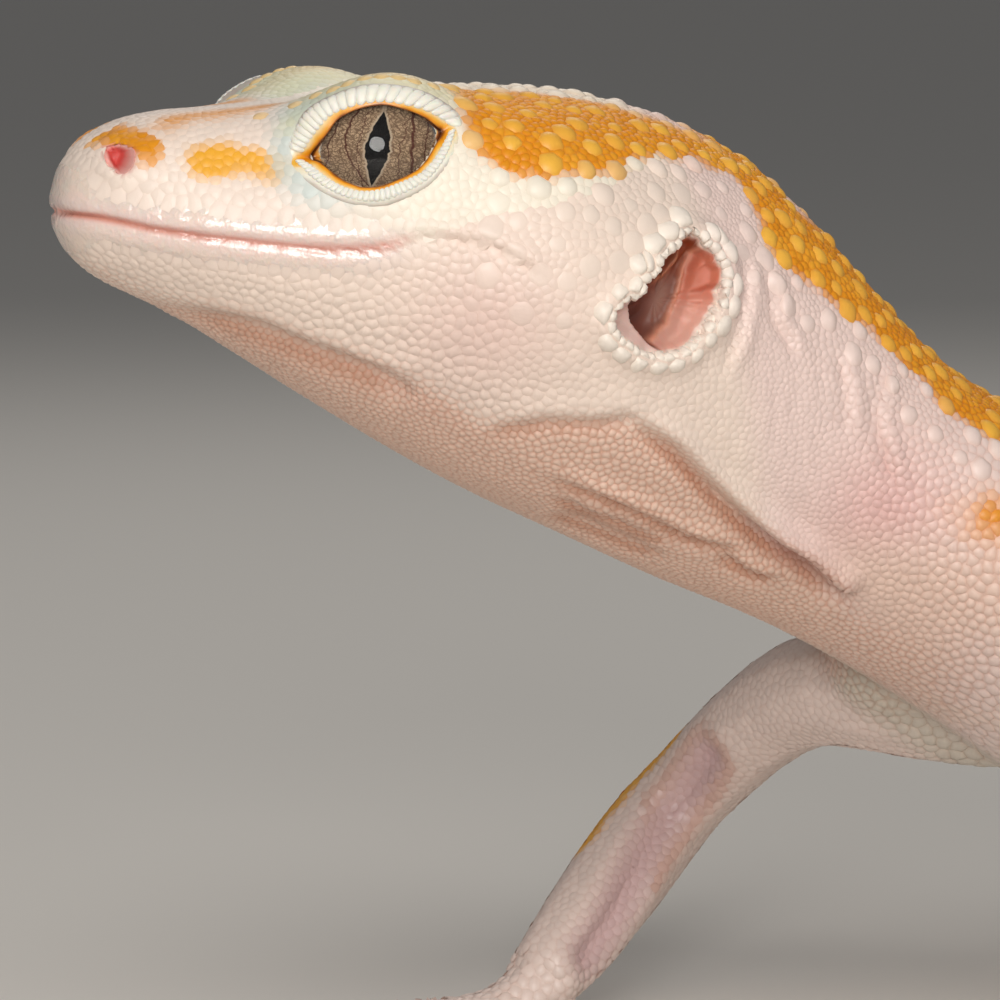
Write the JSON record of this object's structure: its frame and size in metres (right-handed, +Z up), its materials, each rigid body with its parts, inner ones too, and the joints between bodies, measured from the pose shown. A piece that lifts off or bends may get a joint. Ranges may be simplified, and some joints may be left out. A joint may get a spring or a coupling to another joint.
{
  "type": "leopard gecko",
  "caption": "Life-size still model of a pale orange-patterned leopard gecko, standing with its head raised, fat tail laid on the ground.",
  "frame": {"origin": "middle of the model's box, on the floor that the feet and tail rest on", "axes": "+X from the snout towards the tail, +Y to the animal's right side, +Z up"},
  "size_m": [0.191, 0.0762, 0.0463],
  "materials": {
    "skin_head": "matt scaled reptile skin, pinkish white with orange patches and glossy lips",
    "skin_body": "matt scaled reptile skin, pinkish white with orange bands and yellow-white tubercles",
    "skin_tail": "matt scaled reptile skin, white with orange rings",
    "skin_leg": "matt scaled reptile skin, pinkish beige",
    "eye": "wet clear cornea over a brown iris with a black slit pupil",
    "eardrum": "thin moist membrane, salmon red"
  },
  "bodies": {
    "root": {"head": "skin_head", "lower_jaw": "skin_head", "neck": "skin_head", "chest": "skin_body", "belly": "skin_body", "hips": "skin_body", "tail_base": "skin_tail", "tail_middle": "skin_tail", "tail_tip": "skin_tail", "eye_left": "eye", "eye_right": "eye", "eardrum_left": "eardrum", "eardrum_right": "eardrum", "upper_foreleg_left": "skin_leg", "lower_foreleg_left": "skin_leg", "forefoot_left": "skin_leg", "thigh_left": "skin_leg", "shank_left": "skin_leg", "hindfoot_left": "skin_leg", "upper_foreleg_right": "skin_leg", "lower_foreleg_right": "skin_leg", "forefoot_right": "skin_leg", "thigh_right": "skin_leg", "shank_right": "skin_leg", "hindfoot_right": "skin_leg"}
  },
  "joints": []
}
